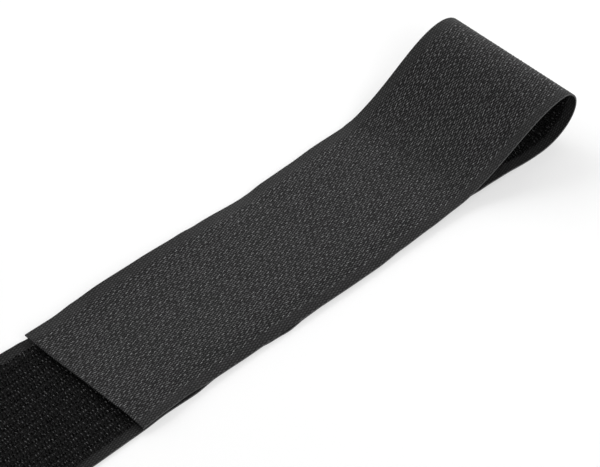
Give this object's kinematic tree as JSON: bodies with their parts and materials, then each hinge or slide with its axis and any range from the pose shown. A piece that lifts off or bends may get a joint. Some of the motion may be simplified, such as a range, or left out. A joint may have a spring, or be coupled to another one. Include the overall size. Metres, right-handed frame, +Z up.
{
  "type": "hook tape roll",
  "caption": "Roll of woven hook tape on a paper core, with its free end laid flat and folded back on itself, hook face inside, so that an open loop stands at the fold.",
  "frame": {"origin": "on the surface that the part lies on, under the middle of its bounding box", "axes": "+X along the tape from the roll to the fold, +Y across the tape, +Z up"},
  "size_m": [0.309, 0.05, 0.0679],
  "materials": {
    "woven_ground": "black woven nylon, satin",
    "hook_yarn": "black nylon monofilament hooks",
    "core_paper": "brown kraft paper tube, matte"
  },
  "bodies": {
    "roll_and_tail": {"paper_core": "core_paper", "roll_winding": "woven_ground", "tail_ground": "woven_ground", "tail_hooks": "hook_yarn", "loop_ground": "woven_ground", "loop_hooks": "hook_yarn"},
    "rise": {"rise_ground": "woven_ground", "rise_hooks": "hook_yarn"},
    "flap": {"flap_ground": "woven_ground", "flap_hooks": "hook_yarn"}
  },
  "joints": [
    {"name": "fold_open", "type": "hinge", "parent": "roll_and_tail", "child": "rise", "pos_m": [0.1501, 0, 0.018], "axis": [0, 1, 0], "range_deg": [0, 120], "deforming": ["loop_ground", "loop_hooks"]},
    {"name": "flap_lift", "type": "hinge", "parent": "rise", "child": "flap", "pos_m": [0.10248, 0, 0.00245], "axis": [0, 1, 0], "range_deg": [0, 60]}
  ]
}
